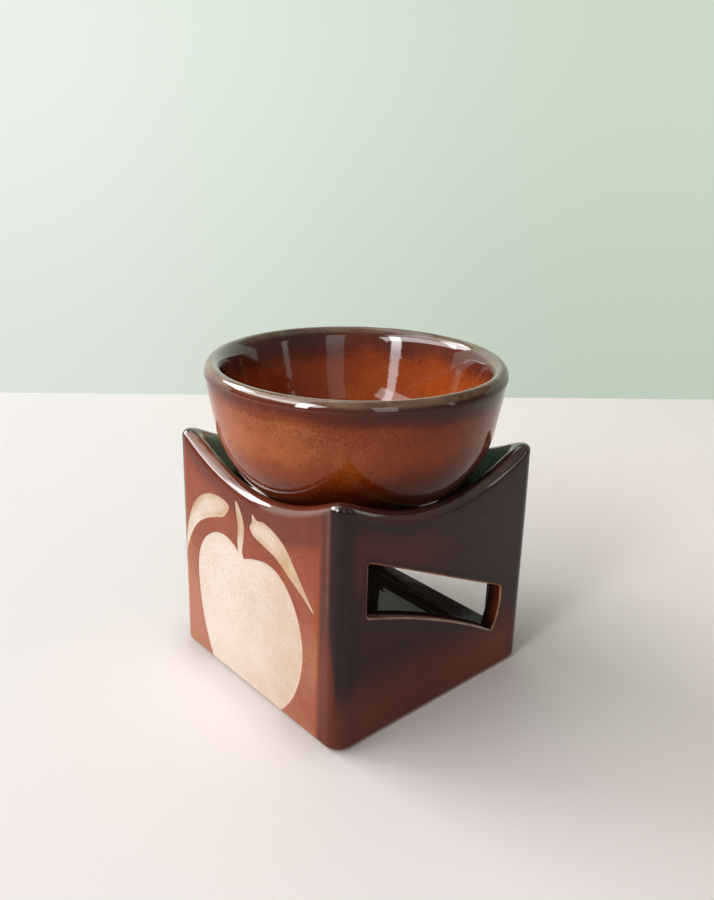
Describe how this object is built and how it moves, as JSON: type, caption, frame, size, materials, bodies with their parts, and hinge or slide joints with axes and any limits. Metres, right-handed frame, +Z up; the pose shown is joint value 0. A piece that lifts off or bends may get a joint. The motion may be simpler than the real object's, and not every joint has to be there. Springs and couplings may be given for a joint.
{
  "type": "oil burner",
  "caption": "Square glazed ceramic stand with scooped walls, slanted side slots and a rear doorway, holding a loose round bowl over a tealight.",
  "frame": {"origin": "centre of the underside of the stand", "axes": "+Z up; -Y the wall with the fruit design; +X and -X the walls with the slanted slots; +Y the wall with the doorway"},
  "size_m": [0.098, 0.098, 0.1081],
  "materials": {
    "stand_glaze": "glossy brown glaze over terracotta, dark green-black glaze inside, bare cream clay in the fruit design",
    "bowl_glaze": "glossy amber-brown glaze, thin and olive at the rim",
    "candle_cup": "drawn foil",
    "candle_wax": "waxy, satin",
    "wick_holder": "tinned",
    "wick": "braided cotton"
  },
  "bodies": {
    "stand": {"stand": "stand_glaze"},
    "bowl": {"bowl": "bowl_glaze"},
    "tealight": {"tealight_cup": "candle_cup", "tealight_wax": "candle_wax", "wick_holder": "wick_holder", "wick": "wick"}
  },
  "joints": [
    {"name": "bowl_lift", "type": "slide", "parent": "stand", "child": "bowl", "axis": [0, 0, 1], "range_m": [0, 0.04]},
    {"name": "tealight_slide", "type": "slide", "parent": "stand", "child": "tealight", "axis": [0, 1, 0], "range_m": [0, 0.075]}
  ]
}
